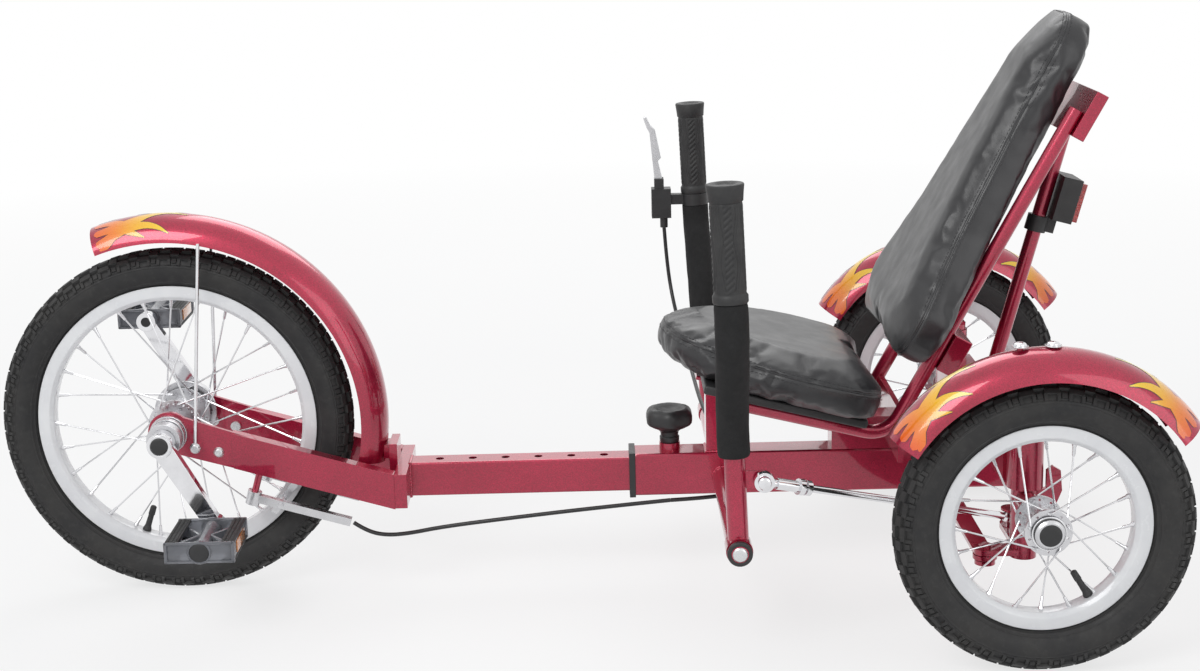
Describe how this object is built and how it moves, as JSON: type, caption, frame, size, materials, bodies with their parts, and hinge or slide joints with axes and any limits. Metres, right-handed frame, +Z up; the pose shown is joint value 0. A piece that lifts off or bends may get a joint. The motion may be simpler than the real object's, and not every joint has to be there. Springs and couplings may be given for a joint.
{
  "type": "low rider tricycle",
  "caption": "Reclined pedal tricycle with one large driven wheel in front, hand-lever steering of the rear wheels, a telescoping frame tube and a padded bucket-style seat.",
  "frame": {"origin": "on the floor under the middle of the overall box", "axes": "-X is forward, -Y is the rider's left, +Z is up"},
  "size_m": [1.2826, 0.707, 0.6494],
  "materials": {
    "red_paint": "gloss metallic",
    "white_rim": "gloss",
    "chrome": "polished",
    "zinc_steel": "satin",
    "aluminium": "satin",
    "tyre": "matte",
    "black_plastic": "satin",
    "grey_plastic": "satin",
    "foam": "matte",
    "vinyl": "satin",
    "red_lens": "gloss",
    "cable": "gloss"
  },
  "bodies": {
    "frame": {"main_tube": "red_paint", "slide_collar": "black_plastic", "rear_axle_beam": "red_paint", "lever_cross_tubes": "red_paint", "seat_post": "red_paint", "seat_pan": "black_plastic", "left_seat_rail": "red_paint", "right_seat_rail": "red_paint", "seat_bracket": "red_paint", "rail_crossbar": "red_paint", "back_strut": "red_paint", "seat_cushion": "vinyl", "back_cushion": "vinyl", "reflector_mount": "black_plastic", "reflector_lens": "red_lens", "brake_cable_rear": "cable"},
    "boom": {"boom_tube": "red_paint", "left_fork_arm": "red_paint", "right_fork_arm": "red_paint", "fork_crown": "red_paint", "hub_cups": "aluminium", "front_fender": "red_paint", "fender_stays": "chrome", "dropout_screws": "zinc_steel", "brake_cable_front": "cable"},
    "knob": {"lock_knob": "black_plastic"},
    "front_wheel": {"front_tyre": "tyre", "front_rim": "white_rim", "front_spokes": "chrome", "front_hub": "aluminium"},
    "cranks": {"crank_spindle": "chrome", "left_crank": "chrome", "right_crank": "chrome"},
    "pedal_left": {"left_pedal": "grey_plastic"},
    "pedal_right": {"right_pedal": "grey_plastic"},
    "brake_left": {"left_brake_arm": "aluminium"},
    "brake_right": {"right_brake_arm": "aluminium"},
    "lever_left": {"left_lever": "red_paint", "left_foam": "foam", "left_grip": "black_plastic"},
    "lever_right": {"right_lever": "red_paint", "right_foam": "foam", "right_grip": "black_plastic", "brake_mount": "black_plastic"},
    "blade": {"brake_blade": "aluminium"},
    "rod_left": {"left_steering_rod": "chrome"},
    "rod_right": {"right_steering_rod": "chrome"},
    "tie": {"tie_rod": "red_paint"},
    "knuckle_left": {"left_knuckle": "red_paint", "left_fender": "red_paint"},
    "knuckle_right": {"right_knuckle": "red_paint", "right_fender": "red_paint"},
    "wheel_left": {"left_tyre": "tyre", "left_rim": "white_rim", "left_spokes": "chrome", "left_hub": "aluminium"},
    "wheel_right": {"right_tyre": "tyre", "right_rim": "white_rim", "right_spokes": "chrome", "right_hub": "aluminium"}
  },
  "joints": [
    {"name": "boom_slide", "type": "slide", "parent": "frame", "child": "boom", "axis": [1, 0, 0], "range_m": [0, 0.2286], "deforming": ["brake_cable_front"]},
    {"name": "knob_press", "type": "slide", "parent": "frame", "child": "knob", "axis": [0, 0, -1], "range_m": [0, 0.003]},
    {"name": "front_wheel_turn", "type": "hinge", "parent": "boom", "child": "front_wheel", "pos_m": [-0.44025, 0, 0.201], "axis": [0, 1, 0], "continuous": true},
    {"name": "crank_turn", "type": "hinge", "parent": "boom", "child": "cranks", "pos_m": [-0.44025, 0, 0.201], "axis": [0, 1, 0], "continuous": true},
    {"name": "left_pedal_turn", "type": "hinge", "parent": "cranks", "child": "pedal_left", "pos_m": [-0.38625, -0.157, 0.10747], "axis": [0, 1, 0], "continuous": true},
    {"name": "right_pedal_turn", "type": "hinge", "parent": "cranks", "child": "pedal_right", "pos_m": [-0.49425, 0.157, 0.29453], "axis": [0, 1, 0], "continuous": true},
    {"name": "right_lever_swing", "type": "hinge", "parent": "frame", "child": "lever_right", "pos_m": [0.18475, 0.262, 0.121], "axis": [0, 1, 0], "range_deg": [-10, 10], "deforming": ["brake_cable_rear"]},
    {"name": "left_lever_swing", "type": "hinge", "parent": "frame", "child": "lever_left", "pos_m": [0.18475, -0.262, 0.121], "axis": [0, 1, 0], "range_deg": [-10, 10]},
    {"name": "right_rod_swing", "type": "hinge", "parent": "lever_right", "child": "rod_right", "pos_m": [0.21075, 0.2725, 0.195], "axis": [0, 1, 0], "range_deg": [-11, 11]},
    {"name": "left_rod_swing", "type": "hinge", "parent": "lever_left", "child": "rod_left", "pos_m": [0.21075, -0.2725, 0.195], "axis": [0, 1, 0], "range_deg": [-11, 11]},
    {"name": "right_knuckle_turn", "type": "hinge", "parent": "frame", "child": "knuckle_right", "pos_m": [0.48875, 0.215, 0.2], "axis": [0, 0, 1], "range_deg": [-13.3, 13.3]},
    {"name": "left_knuckle_turn", "type": "hinge", "parent": "frame", "child": "knuckle_left", "pos_m": [0.48875, -0.215, 0.2], "axis": [0, 0, 1], "range_deg": [-13.3, 13.3]},
    {"name": "tie_rod_swing", "type": "hinge", "parent": "knuckle_left", "child": "tie", "pos_m": [0.44875, -0.215, 0.089], "axis": [0, 0, 1], "range_deg": [-13.3, 13.3]},
    {"name": "right_wheel_turn", "type": "hinge", "parent": "knuckle_right", "child": "wheel_right", "pos_m": [0.48875, 0.305, 0.1525], "axis": [0, 1, 0], "continuous": true},
    {"name": "left_wheel_turn", "type": "hinge", "parent": "knuckle_left", "child": "wheel_left", "pos_m": [0.48875, -0.305, 0.1525], "axis": [0, 1, 0], "continuous": true},
    {"name": "brake_lever_pull", "type": "hinge", "parent": "lever_right", "child": "blade", "pos_m": [0.12775, 0.335, 0.411], "axis": [0, 1, 0], "range_deg": [0, 18], "stiffness_Nm_per_rad": 1, "springref_deg": -8.59},
    {"name": "left_brake_swing", "type": "hinge", "parent": "boom", "child": "brake_left", "pos_m": [-0.35249, -0.046, 0.11968], "axis": [0.284, 0, 0.9588], "range_deg": [0, 2.9]},
    {"name": "right_brake_swing", "type": "hinge", "parent": "boom", "child": "brake_right", "pos_m": [-0.35249, 0.046, 0.11968], "axis": [0.284, 0, 0.9588], "range_deg": [-2.9, 0]}
  ],
  "couplings": [
    {"joint": "left_lever_swing", "follows": "right_lever_swing", "ratio": -1},
    {"joint": "right_rod_swing", "follows": "right_lever_swing", "ratio": -1.0925},
    {"joint": "left_rod_swing", "follows": "right_lever_swing", "ratio": 1.0925},
    {"joint": "right_knuckle_turn", "follows": "right_lever_swing", "ratio": 1.32},
    {"joint": "left_knuckle_turn", "follows": "right_lever_swing", "ratio": 1.32},
    {"joint": "tie_rod_swing", "follows": "right_lever_swing", "ratio": -1.32},
    {"joint": "left_brake_swing", "follows": "brake_lever_pull", "ratio": 0.15556},
    {"joint": "right_brake_swing", "follows": "brake_lever_pull", "ratio": -0.15556}
  ]
}
